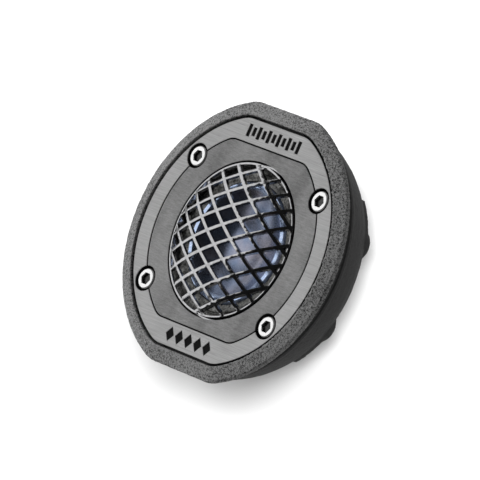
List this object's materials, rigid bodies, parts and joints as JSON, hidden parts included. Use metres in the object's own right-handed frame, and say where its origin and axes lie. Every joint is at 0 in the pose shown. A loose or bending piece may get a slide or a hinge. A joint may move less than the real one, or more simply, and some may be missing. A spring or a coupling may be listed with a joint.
{
  "type": "car tweeter",
  "caption": "Flush-mount car tweeter: inverted dome behind a domed mesh grille, flatted brushed face in a textured bezel, shallow housing with rear ring motor.",
  "frame": {"origin": "on the main axis, at the back of the rear cap, the plane the part rests on when it lies on its back", "axes": "+Z along the main axis out of the face, +X along the face's longer width, +Y towards the terminals"},
  "size_m": [0.056, 0.0534, 0.0232],
  "materials": {
    "bezel": "fine textured coating",
    "trim": "brushed along X",
    "plate": "satin, fine turned",
    "screw": "polished",
    "brass": "machined",
    "grille": "gloss black nickel",
    "rubber": "closed-cell foam",
    "frame": "moulded, glass filled",
    "housing": "satin anodised",
    "foam": "open foam, granular",
    "dome": "thin blue-grey metal foil",
    "former": "amber film",
    "coil": "enamelled wire",
    "steel": "zinc plated",
    "magnet": "nickel plated",
    "copper": "bare copper",
    "felt": "pressed felt",
    "cap": "black anodised, ribbed",
    "terminal": "plated",
    "board": "laminate",
    "wire": "tinned strand"
  },
  "bodies": {
    "tweeter": {"bezel_ring": "bezel", "mounting_gasket": "rubber", "trim_ring": "trim", "inner_plate": "plate", "face_screws": "screw", "threaded_inserts": "brass", "grille_mesh": "grille", "grille_gasket": "rubber", "baffle_frame": "frame", "housing_cup": "housing", "rear_screws": "steel", "surround_frame": "frame", "surround_foam": "foam", "top_plate": "steel", "magnet_ring": "magnet", "pole_piece": "steel", "copper_sleeve": "copper", "pole_felt": "felt", "yoke_plate": "steel", "rear_cap": "cap", "chamber_damping": "felt", "terminal_block": "board", "terminal_positive": "terminal", "terminal_negative": "terminal", "solder_strip": "board", "lead_wire_positive": "wire", "lead_wire_negative": "wire", "tinsel_leads": "wire"},
    "moving_set": {"dome_diaphragm": "dome", "voice_coil_former": "former", "voice_coil_winding": "coil"}
  },
  "joints": [
    {"name": "dome_travel", "type": "slide", "parent": "tweeter", "child": "moving_set", "axis": [0, 0, 1], "range_m": [-0.00035, 0.00035], "stiffness_N_per_m": 900, "deforming": ["surround_foam", "tinsel_leads"]}
  ]
}
